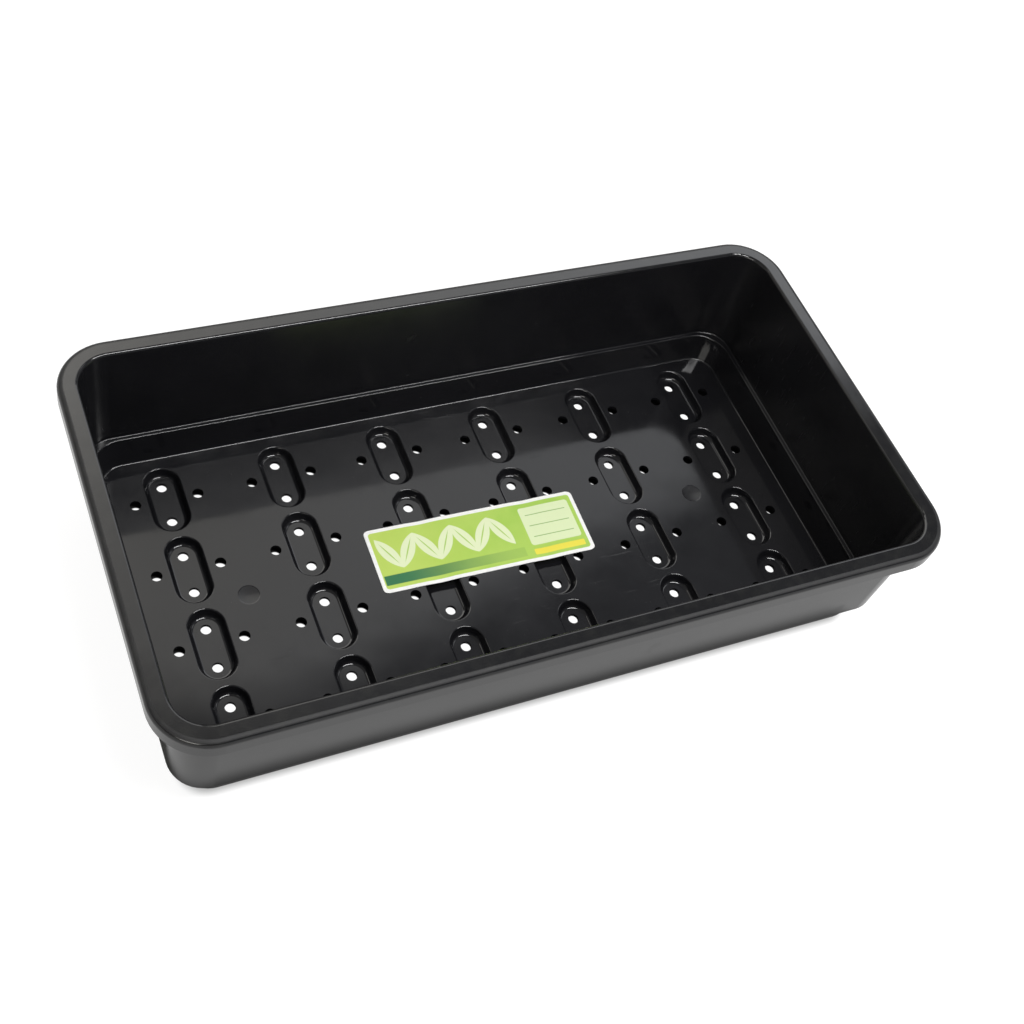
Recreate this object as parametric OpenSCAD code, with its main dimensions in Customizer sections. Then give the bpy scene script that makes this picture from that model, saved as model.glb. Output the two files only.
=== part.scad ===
// Rigid black seed tray with a turned-down rim, a stacking ledge, a floor of two-tier
// drainage wells and a printed label stuck to the floor.
// Millimetres. The origin is the middle of the footprint, on the surface the tray stands on.
// +X runs along the tray, +Y across it and +Z up.

/* [Tray] */
// Overall length, over the rim
tray_l = 380; // [300:1:460]
// Overall width, over the rim
tray_w = 206; // [170:1:300]
// Overall height, from the undersides of the wells to the top of the rim
tray_h = 83; // [50:1:110]
// Thickness of the walls, the floor and the wells
wall_t = 1.8; // [1.2:0.1:2.6]
// Lean of the main wall, in degrees
wall_draft = 1.5; // [1:0.5:6]

/* [Rim] */
// Width of the rim, from its outer edge to the inside of the wall
rim_w = 9.3; // [7:0.1:12]
// Depth of the turned-down skirt
skirt_h = 9.5; // [5:0.5:14]
// Plan radius of the rim's outer corners
rim_corner_r = 25.5; // [20:0.5:32]
// Rounding of the rim's outer edge
rim_outer_r = 2.8; // [0.5:0.1:3]
// Rounding of the rim's inner edge
rim_inner_r = 1.5; // [0.3:0.1:1.6]

/* [Ledge and foot] */
// Height of the ledge above the standing surface
ledge_z = 22.5; // [12:0.5:30]
// Width of the ledge
ledge_w = 2.3; // [1.6:0.1:5]
// Rounding along the ledge
ledge_r = 0.7; // [0.2:0.1:0.8]
// Lean of the foot wall below the ledge, in degrees
foot_draft = 10.5; // [1:0.5:18]
// Rounding of the foot's outer bottom edge
foot_r = 2.6; // [0.5:0.1:3.5]

/* [Floor] */
// Plan radius of the floor's corners
floor_corner_r = 13; // [5:0.5:18]
// Rounding between the foot wall and the floor
floor_r = 1.2; // [0.3:0.1:2.5]
// Distance between the two moulding gate marks
gate_span = 243; // [60:1:250]
// Diameter of a gate mark, which is a shallow round dish
gate_d = 10.5; // [4:0.5:12]
// Depth of a gate mark
gate_depth = 0.5; // [0.1:0.05:0.8]

/* [Drainage wells] */
// Length of a well at floor level
well_l = 36.8; // [28:0.1:44]
// Width of a well at floor level
well_w = 17.4; // [13:0.1:20]
// Depth of a well below the floor
well_depth = 4.6; // [2:0.1:6]
// Lean of a well's wall, in degrees
well_draft = 16; // [5:1:30]
// Rounding of a well's lip
lip_r = 0.9; // [0.2:0.1:1.2]
// Rounding round the bottom of a well
well_r = 2; // [0.3:0.1:2.4]
// Floor between the wells of a column
well_bridge = 4.4; // [4:0.1:12]
// Least floor between the drainage pattern and the foot wall
pattern_margin = 4; // [2:0.5:20]

/* [Drain holes] */
// Diameter of the two holes in a well
drain_d = 5.1; // [3:0.1:7]
// Distance between the two holes in a well
drain_gap = 20.5; // [14:0.1:24]
// Diameter of the holes in the floor beside a well
side_drain_d = 5.4; // [3:0.1:7]
// Floor between a well and the hole beside it
side_drain_gap = 3.9; // [2.5:0.1:8]
// Floor between the side holes of neighbouring columns
column_bridge = 21.9; // [4:0.1:40]

/* [Label] */
// Length of the label
label_l = 114; // [60:1:130]
// Width of the label
label_w = 36.5; // [20:0.5:60]
// Thickness of the label
label_t = 0.3; // [0.2:0.05:0.6]
// Radius of the label's corners
label_corner_r = 2.5; // [1:0.1:8]
// Label's place along the tray
label_x = -1.5; // [-20:0.5:20]
// Label's place across the tray
label_y = 0.5; // [-20:0.5:20]
// Turn of the label, in degrees
label_turn = -1.2; // [-8:0.1:8]

/* [Hidden] */
$fn = 64;
// Facets of a rounding's full circle
rounding_fn = 24;

// Overlap that fuses the floor, the ledge and the wells into one moulding
knit = 0.4;
// Extra length of a cutter past the faces it goes through
cut_past = 1;
// How far a rounding's circle reaches past the faces that it blends
blend_bite = 0.002;
// Step that shared corner axes are kept to
axis_step = 0.001;

// Levels
floor_z = wall_t + well_depth;
floor_under_z = floor_z - wall_t;
ledge_under_z = ledge_z - wall_t;

// Horizontal thickness of the leaning walls
wall_across = wall_t / cos(wall_draft);
foot_across = wall_t / cos(foot_draft);
well_across = wall_t / cos(well_draft);

// Distance of the inner faces from the rim's outer edge, at a height
function wall_inset(z) = rim_w + (tray_h - z) * tan(wall_draft);
foot_top_inset = wall_inset(ledge_z) + ledge_w;
ledge_join = wall_inset(ledge_z) + ledge_w / 2;
ledge_round = min(ledge_r, ledge_w / 3);
function foot_inset(z) = foot_top_inset + (ledge_z - z) * tan(foot_draft);

// Floor inside the foot wall, and the corner axis that it shares with the foot
floor_inset = foot_inset(floor_z);
floor_join = floor_inset + max(floor_r, foot_r) + knit;
foot_axis = max(floor_inset + floor_corner_r, floor_join + knit);
foot_corner = round(foot_axis / axis_step) * axis_step;
floor_l = tray_l - 2 * floor_inset;
floor_w = tray_w - 2 * floor_inset;
// Radius of the ball that leaves a gate mark
gate_ball_r = (gate_d * gate_d / 4 + gate_depth * gate_depth) / (2 * gate_depth);

// Half width of a well's inside, at a height
function well_half(z) = well_w / 2 - (floor_z - z) * tan(well_draft);
lip_round = min(lip_r, well_depth / 3);
well_round = min(well_r, well_depth * 2 / 3);
well_join = max(well_half(floor_under_z) + well_across, well_w / 2 + lip_round) + knit;
well_straight = well_l - well_w;

// Drainage pattern: as many whole columns and rows as the floor holds
side_drain_x = well_w / 2 + side_drain_gap + side_drain_d / 2;
reach_x = side_drain_x + side_drain_d / 2;
reach_y = well_l / 2;
pitch_x = 2 * reach_x + column_bridge;
pitch_y = well_l + well_bridge;
columns = floor((floor_l - 2 * (reach_x + pattern_margin)) / pitch_x) + 1;
rows = floor((floor_w - 2 * (reach_y + pattern_margin)) / pitch_y) + 1;

function unit(v) = v / norm(v);

// What lies between a sharp corner of an outline and its rounding of radius r, and a little past the corner
module corner_patch(before, corner, after, r) {
    to_before = unit(before - corner);
    to_after = unit(after - corner);
    half_angle = acos(to_before * to_after) / 2;
    reach = r / tan(half_angle);
    to_centre = unit(to_before + to_after) * r / sin(half_angle);
    spread = 1 + knit / r;
    translate(corner + to_centre)
        difference() {
            polygon([
                [0, 0], (to_before * reach - to_centre) * spread, -to_centre * spread,
                (to_after * reach - to_centre) * spread
            ]);
            circle(r + blend_bite, $fn = rounding_fn);
        }
}

// Rounded rectangle, inset from the rim's outer edge, with its corner axes at the given distance
module outline(inset, corner) {
    square([tray_l - 2 * inset, tray_w - 2 * corner], center = true);
    square([tray_l - 2 * corner, tray_w - 2 * inset], center = true);
    for (x = [-1, 1], y = [-1, 1])
        translate([x * (tray_l / 2 - corner), y * (tray_w / 2 - corner)]) circle(corner - inset);
}

// Straight run of a profile whose outer edge is at x = 0
module side(distance, run) {
    translate([distance, 0, 0]) rotate([90, 0, 0]) linear_extrude(run, center = true) children();
}

// Carries a profile round the tray, with its corner axes at the given distance from the edges
module sweep(corner) {
    for (turn = [0, 180])
        rotate(turn) {
            side(tray_l / 2, tray_w - 2 * corner) children();
            rotate(90) side(tray_w / 2, tray_l - 2 * corner) children();
        }
    for (x = [0, 1], y = [0, 1])
        mirror([x, 0, 0]) mirror([0, y, 0])
            translate([tray_l / 2 - corner, tray_w / 2 - corner, 0])
                rotate_extrude(angle = 90) translate([corner, 0]) children();
}

// Skirt, rim and main wall, down to the outer half of the ledge
module rim_profile() {
    outer_top = [0, tray_h];
    skirt_foot = [0, tray_h - skirt_h];
    skirt_inside = [-wall_t, tray_h - skirt_h];
    rim_under = [-wall_t, tray_h - wall_t];
    wall_top_outside = [wall_across - wall_inset(tray_h - wall_t), tray_h - wall_t];
    wall_foot = [wall_across - wall_inset(ledge_under_z), ledge_under_z];
    ledge_under = [-ledge_join, ledge_under_z];
    ledge_top = [-ledge_join, ledge_z];
    ledge_corner = [-wall_inset(ledge_z), ledge_z];
    inner_top = [-rim_w, tray_h];
    difference() {
        polygon([
            outer_top, skirt_foot, skirt_inside, rim_under, wall_top_outside,
            wall_foot, ledge_under, ledge_top, ledge_corner, inner_top
        ]);
        corner_patch(skirt_foot, outer_top, inner_top, rim_outer_r);
        corner_patch(outer_top, inner_top, ledge_corner, rim_inner_r);
        corner_patch(wall_top_outside, wall_foot, ledge_under, ledge_round);
    }
    corner_patch(inner_top, ledge_corner, ledge_top, ledge_round);
}

// Foot wall below the ledge, and the edge of the floor
module foot_profile() {
    ledge_edge = [-foot_top_inset, ledge_z];
    floor_corner = [-floor_inset, floor_z];
    floor_end = [-floor_join, floor_z];
    under_end = [-floor_join, floor_under_z];
    under_corner = [foot_across - foot_inset(floor_under_z), floor_under_z];
    outside_top = [foot_across - foot_top_inset, ledge_z];
    difference() {
        polygon([ledge_edge, floor_corner, floor_end, under_end, under_corner, outside_top]);
        corner_patch(floor_corner, ledge_edge, outside_top, ledge_round);
        corner_patch(under_end, under_corner, outside_top, foot_r);
    }
    corner_patch(ledge_edge, floor_corner, floor_end, floor_r);
}

// Flat ring that joins the main wall to the foot wall
module ledge() {
    translate([0, 0, ledge_under_z])
        linear_extrude(wall_t)
            difference() {
                outline(ledge_join - knit, rim_corner_r);
                outline(foot_top_inset - foot_across / 2, foot_corner);
            }
}

// Half of a well's cross-section, from its middle out into the floor
module well_section() {
    lip = [well_w / 2, floor_z];
    bottom = [well_half(wall_t), wall_t];
    middle = [0, wall_t];
    floor_end = [well_join, floor_z];
    difference() {
        polygon([
            middle, bottom, lip, floor_end, [well_join, floor_under_z],
            [well_half(floor_under_z) + well_across, floor_under_z], [well_half(0) + well_across, 0], [0, 0]
        ]);
        corner_patch(bottom, lip, floor_end, lip_round);
    }
    corner_patch(middle, bottom, lip, well_round);
}

// One drainage well: a long dish with round ends and a hole near each end
module well() {
    difference() {
        union() {
            for (turn = [0, 180])
                rotate(turn) translate([0, well_straight / 2, 0]) rotate_extrude(angle = 180) well_section();
            rotate([90, 0, 0])
                linear_extrude(well_straight, center = true)
                    for (flip = [0, 1])
                        mirror([flip, 0]) well_section();
        }
        for (end = [-1, 1])
            translate([0, end * drain_gap / 2, -cut_past]) cylinder(d = drain_d, h = wall_t + 2 * cut_past);
    }
}

// Puts a copy at the middle of each well
module at_wells() {
    for (i = [0 : columns - 1], j = [0 : rows - 1])
        translate([(i - (columns - 1) / 2) * pitch_x, (j - (rows - 1) / 2) * pitch_y]) children();
}

// Opening in the floor plate that a well fills
module well_opening() {
    half = well_join - knit;
    square([2 * half, well_straight], center = true);
    for (end = [-1, 1])
        translate([0, end * well_straight / 2]) circle(half);
}

// Floor between the wells, with the upper tier of drain holes and the gate marks
module floor_plate() {
    difference() {
        translate([0, 0, floor_under_z])
            linear_extrude(wall_t)
                difference() {
                    outline(floor_join - knit, foot_corner);
                    at_wells() {
                        well_opening();
                        for (end = [-1, 1])
                            translate([end * side_drain_x, 0]) circle(d = side_drain_d);
                    }
                }
        for (end = [-1, 1])
            translate([end * gate_span / 2, 0, floor_z - gate_depth + gate_ball_r]) sphere(gate_ball_r);
    }
}

module tray() {
    color("#1b1c1e") {
        sweep(rim_corner_r) rim_profile();
        sweep(foot_corner) foot_profile();
        ledge();
        floor_plate();
        at_wells() well();
    }
}

// Label, lying on the floor and bridging the wells under it
module label() {
    color("#93c83d")
        translate([label_x, label_y, floor_z])
            rotate(label_turn)
                linear_extrude(label_t) {
                    square([label_l, label_w - 2 * label_corner_r], center = true);
                    square([label_l - 2 * label_corner_r, label_w], center = true);
                    for (x = [-1, 1], y = [-1, 1])
                        translate([x * (label_l / 2 - label_corner_r), y * (label_w / 2 - label_corner_r)])
                            circle(label_corner_r);
                }
}

tray();
label();
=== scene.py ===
import math

import bmesh
import bpy
from mathutils import Matrix, Vector


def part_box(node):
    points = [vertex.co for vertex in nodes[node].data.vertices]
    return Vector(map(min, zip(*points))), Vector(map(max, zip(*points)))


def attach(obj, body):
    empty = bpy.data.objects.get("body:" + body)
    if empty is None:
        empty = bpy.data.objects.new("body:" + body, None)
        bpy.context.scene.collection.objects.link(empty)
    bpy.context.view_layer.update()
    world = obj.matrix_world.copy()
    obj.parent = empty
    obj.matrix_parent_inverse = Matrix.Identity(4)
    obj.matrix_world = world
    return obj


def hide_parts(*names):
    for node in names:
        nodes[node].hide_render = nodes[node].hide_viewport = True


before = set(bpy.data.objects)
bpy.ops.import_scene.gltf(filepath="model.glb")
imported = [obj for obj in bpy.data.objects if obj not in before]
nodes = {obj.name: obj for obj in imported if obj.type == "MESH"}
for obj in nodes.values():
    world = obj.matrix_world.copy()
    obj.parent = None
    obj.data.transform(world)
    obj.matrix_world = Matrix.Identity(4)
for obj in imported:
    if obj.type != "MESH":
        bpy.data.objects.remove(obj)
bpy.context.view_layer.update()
scene = bpy.context.scene
MM = 0.001

# Sizes of the moulding, as in the CAD source
TRAY_L, TRAY_W, TRAY_H = (high - low for low, high in zip(*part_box("tray")))
RIM_CORNER_R = 25.5 * MM
RIM_W = 9.3 * MM
WALL_T = 1.8 * MM
WALL_SLOPE = math.tan(math.radians(1.5))
LEDGE_Z = 22.5 * MM
LEDGE_W = 2.3 * MM
FLOOR_Z = 6.4 * MM
GATE_X, GATE_R = 121.5 * MM, 5.25 * MM
FOOT_X, FOOT_Y, FOOT_CORNER_R = 175.1 * MM, 88.1 * MM, 14.3 * MM
COLUMN_PITCH, ROW_PITCH = 57.9 * MM, 41.2 * MM
WELL_W, WELL_L = 17.4 * MM, 36.8 * MM
DRAIN_Y, SIDE_DRAIN_X = 10.25 * MM, 15.3 * MM


class Graph:
    """Short forms for building a node tree. A value is a number, a tuple or another node's output socket."""

    def __init__(self, tree):
        self.tree = tree
        tree.nodes.clear()

    def add(self, kind, **settings):
        node = self.tree.nodes.new(kind)
        for key, value in settings.items():
            setattr(node, key, value)
        return node

    def put(self, socket, value):
        if isinstance(value, bpy.types.NodeSocket):
            self.tree.links.new(value, socket)
        else:
            socket.default_value = value

    def math(self, operation, *values):
        node = self.add("ShaderNodeMath", operation=operation)
        for socket, value in zip(node.inputs, values):
            self.put(socket, value)
        return node.outputs[0]

    def vector(self, operation, *values):
        node = self.add("ShaderNodeVectorMath", operation=operation)
        for socket, value in zip(node.inputs, values):
            self.put(socket, value)
        return node.outputs["Value"] if operation == "LENGTH" else node.outputs[0]

    def combine(self, x, y, z):
        node = self.add("ShaderNodeCombineXYZ")
        for socket, value in zip(node.inputs, (x, y, z)):
            self.put(socket, value)
        return node.outputs[0]

    def split(self, vector):
        node = self.add("ShaderNodeSeparateXYZ")
        self.put(node.inputs[0], vector)
        return node.outputs

    def ramp(self, value, low, high, to_low=0.0, to_high=1.0):
        node = self.add("ShaderNodeMapRange", interpolation_type="SMOOTHSTEP")
        for socket, number in zip(node.inputs, (value, low, high, to_low, to_high)):
            self.put(socket, number)
        return node.outputs[0]

    def mix(self, factor, a, b):
        node = self.add("ShaderNodeMix", data_type="FLOAT")
        self.put(node.inputs[0], factor)
        self.put(node.inputs[2], a)
        self.put(node.inputs[3], b)
        return node.outputs[0]

    def blend(self, factor, a, b):
        node = self.add("ShaderNodeMix", data_type="RGBA")
        self.put(node.inputs[0], factor)
        self.put(node.inputs[6], a)
        self.put(node.inputs[7], b)
        return node.outputs[2]

    def noise(self, vector, scale, detail=2.0, rough=0.5):
        node = self.add("ShaderNodeTexNoise")
        self.put(node.inputs["Vector"], vector)
        self.put(node.inputs["Scale"], scale)
        self.put(node.inputs["Detail"], detail)
        self.put(node.inputs["Roughness"], rough)
        return node.outputs["Fac"]

    def bump(self, height, distance, normal=None):
        node = self.add("ShaderNodeBump")
        self.put(node.inputs["Strength"], 1.0)
        self.put(node.inputs["Distance"], distance)
        self.put(node.inputs["Height"], height)
        if normal is not None:
            self.put(node.inputs["Normal"], normal)
        return node.outputs[0]

    def reach(self, x, y, to_x, to_y):
        """How far a point lies from another."""
        return self.vector("LENGTH", self.combine(
            self.math("SUBTRACT", x, to_x), self.math("SUBTRACT", y, to_y), 0.0))

    def beyond(self, x, y, half_x, half_y, radius):
        """How far a point lies outside a rounded box round the origin, and less than 0 inside it."""
        past_x = self.math("SUBTRACT", self.math("ABSOLUTE", x), half_x - radius)
        past_y = self.math("SUBTRACT", self.math("ABSOLUTE", y), half_y - radius)
        corner = self.vector("LENGTH", self.combine(
            self.math("MAXIMUM", past_x, 0.0), self.math("MAXIMUM", past_y, 0.0), 0.0))
        flat = self.math("MINIMUM", self.math("MAXIMUM", past_x, past_y), 0.0)
        return self.math("SUBTRACT", self.math("ADD", corner, flat), radius)


def new_material(name):
    material = bpy.data.materials.new(name)
    material.use_nodes = True
    graph = Graph(material.node_tree)
    surface = graph.add("ShaderNodeBsdfPrincipled")
    output = graph.add("ShaderNodeOutputMaterial")
    graph.put(output.inputs["Surface"], surface.outputs[0])
    return material, graph, surface


# Tray
POLISHED_LOW, POLISHED_HIGH = (0.0068, 0.0068, 0.008, 1), (0.0096, 0.0096, 0.0112, 1)
SATIN_COLOUR = (0.0045, 0.0045, 0.0052, 1)
SCUFF_COLOUR = (0.02, 0.02, 0.021, 1)
DUST_COLOUR = (0.05, 0.048, 0.045, 1)
HAZE_COLOUR = (0.021, 0.021, 0.0195, 1)
WORN_ROUGHNESS = 0.58
GATE_ROUGHNESS = 0.34
INNER_WALL_ROUGHER = 0.15
GRAIN_DEPTH, GRAIN_INSIDE = 0.014 * MM, 0.12
WAVE_DEPTH = 0.12 * MM


def make_tray_material():
    """Black polypropylene: polished floor, duller inner walls, and a finely spark-textured rim and outside."""
    material, g, surface = new_material("tray_plastic")
    place = g.add("ShaderNodeNewGeometry").outputs["Position"]
    x, y, z = g.split(place)

    # Inside is what lies past the middle of the wall, which slopes, and steps in under the ledge
    inset = g.math("MULTIPLY", g.beyond(x, y, TRAY_L / 2, TRAY_W / 2, RIM_CORNER_R), -1.0)
    middle = g.math("MULTIPLY_ADD", g.math("SUBTRACT", TRAY_H, z), WALL_SLOPE, RIM_W - WALL_T / 2)
    below = g.math("MULTIPLY", g.math("LESS_THAN", z, LEDGE_Z - WALL_T / 2), LEDGE_W)
    middle = g.math("ADD", middle, below)
    inside = g.ramp(g.math("SUBTRACT", inset, middle), -0.2 * MM, 0.2 * MM)
    inside = g.math("MULTIPLY", inside, g.ramp(z, TRAY_H - 1.2 * MM, TRAY_H - 0.3 * MM, 1.0, 0.0))

    cloud = g.noise(place, 18.0, 3.0)
    blotch = g.noise(place, 70.0, 4.0, 0.6)
    grain = g.noise(place, 2600.0, 2.0, 0.6)
    streak_at = g.vector("MULTIPLY", place, (60.0, 900.0, 60.0))
    streak = g.ramp(g.noise(streak_at, 1.0, 2.0), 0.66, 0.72)
    scuff = g.math("MULTIPLY", streak, g.ramp(cloud, 0.5, 0.62))
    dust = g.math("MULTIPLY", g.ramp(g.noise(place, 900.0, 1.0), 0.74, 0.8), g.ramp(blotch, 0.5, 0.6))
    haze = g.ramp(g.noise(place, 160.0, 5.0, 0.7), 0.42, 0.7)
    haze = g.math("MULTIPLY", haze, g.mix(inside, 0.35, 0.0))

    shade = g.blend(g.ramp(cloud, 0.3, 0.7), POLISHED_LOW, POLISHED_HIGH)
    shade = g.blend(g.math("MULTIPLY", scuff, 0.35), shade, SCUFF_COLOUR)
    shade = g.blend(g.math("MULTIPLY", dust, 0.5), shade, DUST_COLOUR)
    shade = g.blend(g.mix(inside, 0.7, 0.0), shade, SATIN_COLOUR)
    shade = g.blend(haze, shade, HAZE_COLOUR)
    g.put(surface.inputs["Base Color"], shade)

    patchy = g.ramp(blotch, 0.3, 0.7)
    on_wall = g.ramp(z, LEDGE_Z, LEDGE_Z + 4 * MM)
    polished = g.math("MULTIPLY_ADD", patchy, 0.04, 0.07)
    polished = g.math("MULTIPLY_ADD", on_wall, INNER_WALL_ROUGHER, polished)
    satin = g.math("MULTIPLY_ADD", patchy, 0.03, 0.075)
    rough = g.mix(inside, satin, polished)
    rough = g.math("MULTIPLY_ADD", scuff, 0.12, rough)
    near_edge = g.ramp(inset, 2.2 * MM, 3.2 * MM, 1.0, 0.0)
    worn = g.math("MULTIPLY", near_edge, g.ramp(z, TRAY_H - 0.9 * MM, TRAY_H - 0.4 * MM))
    rough = g.mix(worn, rough, WORN_ROUGHNESS)
    gate = g.reach(g.math("ABSOLUTE", x), y, GATE_X, 0.0)
    rough = g.mix(g.ramp(gate, GATE_R - 0.6 * MM, GATE_R, 1.0, 0.0), rough, GATE_ROUGHNESS)
    g.put(surface.inputs["Roughness"], rough)
    surface.inputs["IOR"].default_value = 1.5

    fine = g.bump(g.math("MULTIPLY", grain, g.mix(inside, 1.0, GRAIN_INSIDE)), GRAIN_DEPTH)
    wave = g.bump(g.noise(place, 30.0, 1.0), WAVE_DEPTH, fine)
    g.put(surface.inputs["Normal"], wave)
    return material


tray = nodes["tray"]
tray.data.materials.clear()
tray.data.materials.append(make_tray_material())

# Label
LABEL_L, LABEL_W = 114 * MM, 36.5 * MM
LABEL_T = 0.22 * MM
LABEL_CORNER_R = 2.5 * MM
LABEL_PLACE = Vector((-1.5 * MM, 0.5 * MM, FLOOR_Z))
LABEL_TURN = math.radians(-1.2)
LABEL_COLUMNS, LABEL_ROWS = 148, 60
GLUE_T = 0.03 * MM
SAG, SAG_RUN = 0.42 * MM, 11 * MM
LIFT, LIFT_AT, LIFT_SPREAD = 0.1 * MM, 1.35, 0.3
LIFT_FROM, LIFT_TO = 11 * MM, 19 * MM


def smooth(value, low, high):
    t = min(max((value - low) / (high - low), 0.0), 1.0)
    return t * t * (3 - 2 * t)


def label_height(point):
    """Height of the label's underside over the floor: it sags into the wells and lifts a little beside them."""
    x, y = abs(point.x), abs(point.y)
    well_end = (ROW_PITCH - WELL_L) / 2
    across = abs(x - COLUMN_PITCH / 2) / (WELL_W / 2)
    dip = math.cos(across * math.pi / 2) ** 2 if across < 1 else 0.0
    dip *= smooth(y, well_end, well_end + SAG_RUN)
    lift = math.exp(-((across - LIFT_AT) / LIFT_SPREAD) ** 2) * smooth(y, LIFT_FROM, LIFT_TO)
    return GLUE_T - SAG * dip + LIFT * lift


def make_label():
    """A closed sheet with round corners: a top and an underside of rows of points, and a rim between them."""
    turn = Matrix.Rotation(LABEL_TURN, 4, "Z")
    mesh = bmesh.new()
    sheets = []
    for level in (LABEL_T, 0.0):
        rows = []
        for j in range(LABEL_ROWS + 1):
            y = (j / LABEL_ROWS - 0.5) * LABEL_W
            past = max(abs(y) - (LABEL_W / 2 - LABEL_CORNER_R), 0.0)
            half = LABEL_L / 2 - LABEL_CORNER_R + math.sqrt(max(LABEL_CORNER_R ** 2 - past ** 2, 0.0))
            row = []
            for i in range(LABEL_COLUMNS + 1):
                point = turn @ Vector(((i / LABEL_COLUMNS * 2 - 1) * half, y, 0.0)) + LABEL_PLACE
                point.z += label_height(point) + level
                row.append(mesh.verts.new(point))
            rows.append(row)
        sheets.append(rows)
    top, under = sheets
    for j in range(LABEL_ROWS):
        for i in range(LABEL_COLUMNS):
            for rows, order in ((top, 1), (under, -1)):
                corners = [rows[j][i], rows[j][i + 1], rows[j + 1][i + 1], rows[j + 1][i]]
                mesh.faces.new(corners[::order])
    loop = [(0, i) for i in range(LABEL_COLUMNS)] + [(j, LABEL_COLUMNS) for j in range(LABEL_ROWS)]
    loop += [(LABEL_ROWS, i) for i in range(LABEL_COLUMNS, 0, -1)] + [(j, 0) for j in range(LABEL_ROWS, 0, -1)]
    for (ja, ia), (jb, ib) in zip(loop, loop[1:] + loop[:1]):
        mesh.faces.new((top[ja][ia], under[ja][ia], under[jb][ib], top[jb][ib]))
    data = bpy.data.meshes.new("label_sheet")
    mesh.to_mesh(data)
    mesh.free()
    for polygon in data.polygons:
        polygon.use_smooth = True
    data.set_sharp_from_angle(angle=math.radians(50))
    sheet = bpy.data.objects.new("label_sheet", data)
    scene.collection.objects.link(sheet)
    return sheet


PAPER_LOW, PAPER_HIGH = (0.85, 0.85, 0.83, 1), (0.89, 0.89, 0.87, 1)
LIME_LEFT, LIME_RIGHT, LIME_PALE = (0.47, 0.63, 0.10, 1), (0.33, 0.56, 0.07, 1), (0.52, 0.68, 0.14, 1)
BAND_GREEN = (0.02, 0.16, 0.06, 1)
LEAF_PALE, LEAF_VEIN = (0.74, 0.82, 0.52, 1), (0.40, 0.60, 0.12, 1)
PANEL_PALE, PANEL_LINE = (0.70, 0.80, 0.48, 1), (0.20, 0.40, 0.08, 1)
BAR_YELLOW = (0.80, 0.70, 0.06, 1)
PRINT_SOFT = 0.12
BORDER = 1.9
LEAVES, LEAF_PITCH, LEAF_START, LEAF_MIDDLE = 7, 10, -48, 3.2
PANEL_U = 39


def make_label_material():
    """Coated label paper: white border, lime ground, a row of plain leaves, a dark band, an empty writing
    panel and a yellow bar. The print's own numbers are in millimetres from the label's middle."""
    material, g, surface = new_material("label_print")
    place = g.add("ShaderNodeNewGeometry").outputs["Position"]
    spot = g.vector("SUBTRACT", place, tuple(LABEL_PLACE))
    rotate = g.add("ShaderNodeVectorRotate", rotation_type="Z_AXIS")
    g.put(rotate.inputs["Vector"], spot)
    g.put(rotate.inputs["Angle"], -LABEL_TURN)
    u, v, _ = g.split(g.vector("MULTIPLY", rotate.outputs[0], (1 / MM, 1 / MM, 0.0)))

    def box(cu, cv, half_u, half_v, radius):
        """1 inside a rounded box."""
        out = g.beyond(g.math("SUBTRACT", u, cu), g.math("SUBTRACT", v, cv), half_u, half_v, radius)
        return g.ramp(out, -PRINT_SOFT, PRINT_SOFT, 1.0, 0.0)

    def disc(cu, cv, radius):
        return g.ramp(g.reach(u, v, cu, cv), radius - PRINT_SOFT, radius + PRINT_SOFT, 1.0, 0.0)

    def leaf(cu, cv, length, width, angle):
        """A pointed leaf: where two discs overlap."""
        radius = (length ** 2 + width ** 2) / (4 * width)
        off = radius - width / 2
        nu, nv = -math.sin(angle), math.cos(angle)
        sides = [disc(cu + s * nu * off, cv + s * nv * off, radius) for s in (-1, 1)]
        return g.math("MULTIPLY", *sides)

    ground = g.blend(g.ramp(u, -57.0, 45.0), LIME_LEFT, LIME_RIGHT)
    ground = g.blend(g.ramp(g.noise(place, 60.0, 2.0), 0.35, 0.65, 0.0, 0.3), ground, LIME_PALE)
    band = g.math("MULTIPLY", box(-17, -11.6, 37.5, 2.7, 0.2), g.ramp(u, -50.0, 24.0, 1.0, 0.15))
    ground = g.blend(band, ground, BAND_GREEN)
    for step in range(LEAVES):
        leaf_u = LEAF_START + LEAF_PITCH * step
        lean = math.radians(62 if step % 2 else 118)
        ground = g.blend(leaf(leaf_u, LEAF_MIDDLE, 21, 7.2, lean), ground, LEAF_PALE)
        ground = g.blend(leaf(leaf_u, LEAF_MIDDLE, 15, 0.7, lean), ground, LEAF_VEIN)
    ground = g.blend(box(PANEL_U, 2.4, 14, 11.4, 1.6), ground, PANEL_PALE)
    for line_v in (-4.2, 2.4, 9.0):
        ground = g.blend(box(PANEL_U, line_v, 11.2, 0.2, 0.1), ground, PANEL_LINE)
    ground = g.blend(box(PANEL_U, -12.9, 14, 1.7, 0.6), ground, BAR_YELLOW)
    field = box(0, 0, LABEL_L / 2 / MM - BORDER, LABEL_W / 2 / MM - BORDER, 1.6)
    paper = g.blend(g.ramp(g.noise(place, 400.0, 3.0), 0.3, 0.7), PAPER_LOW, PAPER_HIGH)
    g.put(surface.inputs["Base Color"], g.blend(field, paper, ground))

    fibre = g.noise(place, 1800.0, 3.0, 0.65)
    g.put(surface.inputs["Roughness"], g.math("MULTIPLY_ADD", fibre, 0.12, 0.34))
    surface.inputs["IOR"].default_value = 1.45
    fine = g.bump(fibre, 0.012 * MM)
    g.put(surface.inputs["Normal"], g.bump(g.noise(place, 120.0, 2.0), 0.1 * MM, fine))
    return material


label = make_label()
label.data.materials.append(make_label_material())
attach(label, "root")
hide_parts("label")

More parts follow.
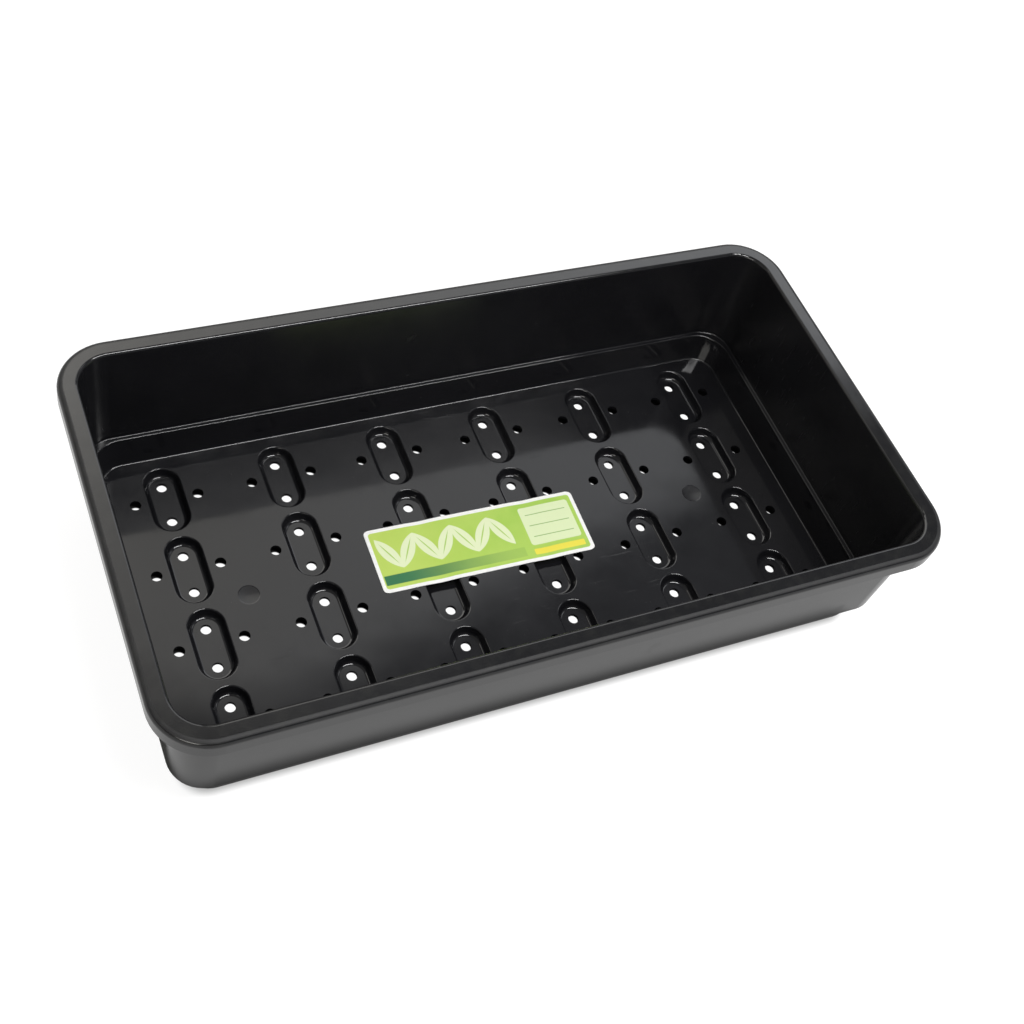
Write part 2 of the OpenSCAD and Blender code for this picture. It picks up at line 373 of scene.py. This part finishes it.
# Floor: white to the camera, with a painted contact shadow round the foot and painted shade (near-black) under
# the tray, apart from a painted spot of light below each drain hole; its glow seen in reflections fades as
# painted shade near the tray
FLOOR_HALF = 40.0
FLOOR_DROP = 0.1 * MM
WELL_SPOT_R, RIGHT_SPOT_R, LEFT_SPOT_R, SPOT_SOFT = 5 * MM, 3.4 * MM, 2.9 * MM, 0.3 * MM
SHADED_COLOUR, TABLE_COLOUR = (0.02, 0.02, 0.02, 1), (0.2, 0.2, 0.2, 1)
SHADED_FROM = -8 * MM
MIRROR_LEVEL = 0.59


def make_floor_material():
    material = bpy.data.materials.new("studio_floor")
    material.use_nodes = True
    g = Graph(material.node_tree)
    path = g.add("ShaderNodeLightPath").outputs
    mirrored = g.math("MAXIMUM", path["Is Glossy Ray"], path["Is Transmission Ray"])
    x, y, _ = g.split(g.add("ShaderNodeNewGeometry").outputs["Position"])
    beside = g.beyond(x, y, FOOT_X, FOOT_Y, FOOT_CORNER_R)
    outside = g.math("GREATER_THAN", beside, SHADED_FROM)

    # The place within one cell of the grid of wells
    across = g.math("SUBTRACT", g.math("FRACT", g.math("DIVIDE", x, COLUMN_PITCH)), 0.5)
    along = g.math("SUBTRACT", g.math("FRACT", g.math("DIVIDE", y, ROW_PITCH)), 0.5)
    across = g.math("MULTIPLY", across, COLUMN_PITCH)
    along = g.math("ABSOLUTE", g.math("MULTIPLY", along, ROW_PITCH))

    def spot(hole_x, hole_y, radius):
        return g.ramp(g.reach(across, along, hole_x, hole_y), radius - SPOT_SOFT, radius + SPOT_SOFT, 1.0, 0.0)

    # Painted light: glowing discs on the floor below each drain hole stand in for the table lit through the
    # holes, seen by the camera only, under the tray
    painted_hole_light = g.math("MAXIMUM", spot(0.0, DRAIN_Y, WELL_SPOT_R), spot(SIDE_DRAIN_X, 0.0, RIGHT_SPOT_R))
    painted_hole_light = g.math("MAXIMUM", painted_hole_light, spot(-SIDE_DRAIN_X, 0.0, LEFT_SPOT_R))
    painted_hole_light = g.math("MULTIPLY", painted_hole_light, g.math("SUBTRACT", 1.0, outside))
    # Painted contact shadow: the white the camera sees is dimmed from 0.9 to 0.4 close round the tray's foot
    camera_white_with_painted_contact_shadow = g.math("MULTIPLY", outside, g.ramp(beside, -3 * MM, 3 * MM, 0.4, 0.9))
    seen = g.math("MULTIPLY", path["Is Camera Ray"], g.math("ADD", camera_white_with_painted_contact_shadow, painted_hole_light))
    # Painted shade in reflections: the floor's glow seen in the tray's glossy faces fades to nothing close to
    # the foot
    mirror_glow_with_painted_shade = g.math("MULTIPLY", g.ramp(beside, 12 * MM, 20 * MM), MIRROR_LEVEL)
    glow = g.add("ShaderNodeEmission")
    g.put(glow.inputs["Strength"], g.math("ADD", seen, g.math("MULTIPLY", mirrored, mirror_glow_with_painted_shade)))
    diffuse = g.add("ShaderNodeBsdfDiffuse")
    # Painted shade: under the tray the floor's own colour is near-black (SHADED_COLOUR), outside it is the
    # table's grey
    g.put(diffuse.inputs["Color"], g.blend(outside, SHADED_COLOUR, TABLE_COLOUR))
    both = g.add("ShaderNodeAddShader")
    g.put(both.inputs[0], diffuse.outputs[0])
    g.put(both.inputs[1], glow.outputs[0])
    g.put(g.add("ShaderNodeOutputMaterial").inputs["Surface"], both.outputs[0])
    return material


floor_data = bpy.data.meshes.new("studio_floor")
floor_corners = [(sx * FLOOR_HALF, sy * FLOOR_HALF, 0) for sx, sy in ((-1, -1), (1, -1), (1, 1), (-1, 1))]
floor_data.from_pydata(floor_corners, [], [(0, 1, 2, 3)])
floor_data.materials.append(make_floor_material())
studio_floor = bpy.data.objects.new("studio_floor", floor_data)
studio_floor.location.z = -FLOOR_DROP
scene.collection.objects.link(studio_floor)

# Surroundings: a pale room with a broad panel behind the tray, cut off round at the top, and three small
# patches of light. Each patch has four elevations and four azimuths in degrees: where it starts to rise, is
# full, starts to fall and is gone. Azimuth 0 is +Y and 90 is +X.
PATCHES = (
    (2.0, (40, 44, 54, 58), (66, 70, 86, 90)),
    (8.0, (20, 23, 31, 34), (-157, -152, -128, -123)),
    (2.2, (42, 46, 54, 58), (-60, -54, -44, -38)),
)
PANEL_TOP, PANEL_TOP_AZIMUTH, PANEL_BEND = math.radians(64), math.radians(18), -0.83
PANEL_TILT = 0.22
WARM, COOL, WHITE = (1.02, 1.0, 0.95, 1), (0.98, 1.0, 1.03, 1), (1.0, 1.0, 1.0, 1)


def make_world():
    world = bpy.data.worlds.new("studio")
    world.use_nodes = True
    g = Graph(world.node_tree)
    x, y, z = g.split(g.add("ShaderNodeTexCoord").outputs["Generated"])
    elevation = g.math("ARCSINE", z)
    azimuth = g.math("ARCTAN2", x, y)

    def turn_ramp(angle, low, high, to_low=0.0, to_high=1.0):
        return g.ramp(angle, math.radians(low), math.radians(high), to_low, to_high)

    def within(angle, rise, full, fall, gone):
        return g.math("MULTIPLY", turn_ramp(angle, rise, full), turn_ramp(angle, fall, gone, 1.0, 0.0))

    bend = g.math("SUBTRACT", azimuth, PANEL_TOP_AZIMUTH)
    top = g.math("MULTIPLY_ADD", g.math("MULTIPLY", bend, bend), PANEL_BEND, PANEL_TOP)
    tilted = g.math("MULTIPLY_ADD", azimuth, PANEL_TILT, elevation)
    panel = g.math("MULTIPLY", turn_ramp(elevation, 22, 30), within(azimuth, -50, -35, 52, 55.5))
    for level in (
        turn_ramp(g.math("SUBTRACT", elevation, top), -1.5, 1.5, 1.0, 0.0),
        turn_ramp(tilted, 54, 58, 2.15, 1.22),
        turn_ramp(azimuth, 6, 16, 1.25, 1.0),
    ):
        panel = g.math("MULTIPLY", panel, level)

    light = g.math("ADD", panel, turn_ramp(elevation, 4, 12, 1.0, 0.25))
    for strength, elevations, azimuths in PATCHES:
        patch = g.math("MULTIPLY", within(elevation, *elevations), within(azimuth, *azimuths))
        light = g.math("MULTIPLY_ADD", patch, strength, light)
    to_camera = g.add("ShaderNodeLightPath").outputs["Is Camera Ray"]
    backdrop = g.add("ShaderNodeBackground")
    g.put(backdrop.inputs["Strength"], g.mix(to_camera, light, 1.0))
    tint = g.blend(turn_ramp(azimuth, 8, 50), WARM, COOL)
    g.put(backdrop.inputs["Color"], g.blend(to_camera, tint, WHITE))
    g.put(g.add("ShaderNodeOutputWorld").inputs["Surface"], backdrop.outputs[0])
    return world


scene.world = make_world()

# One soft lamp high in front, to the right
KEY_PLACE, KEY_AIM = Vector((0.4, -0.51, 1.55)), Vector((0.4, 0, 0.03))
KEY_SIZE = (0.95, 0.26)
KEY_WATTS = 21
key_data = bpy.data.lights.new("key", "AREA")
key_data.shape = "RECTANGLE"
key_data.size, key_data.size_y = KEY_SIZE
key_data.energy = KEY_WATTS
key = bpy.data.objects.new("key", key_data)
key.location = KEY_PLACE
key.rotation_euler = (KEY_AIM - KEY_PLACE).to_track_quat("-Z", "Y").to_euler()
scene.collection.objects.link(key)

# Camera at the photograph's viewing angle
CAMERA_PLACE = (-0.2477, -0.31476, 0.578)
CAMERA_TURN = (35.624, -10.8144, -21.3948)
CAMERA_SHIFT = (0.04004, -0.02637)
CAMERA_LENS, SENSOR_WIDTH = 48.8246, 36
camera_data = bpy.data.cameras.new("camera")
camera_data.sensor_width = SENSOR_WIDTH
camera_data.lens = CAMERA_LENS
camera_data.shift_x, camera_data.shift_y = CAMERA_SHIFT
camera = bpy.data.objects.new("camera", camera_data)
camera.location = CAMERA_PLACE
camera.rotation_euler = [math.radians(angle) for angle in CAMERA_TURN]
scene.collection.objects.link(camera)
scene.camera = camera

scene.view_settings.view_transform = "Standard"
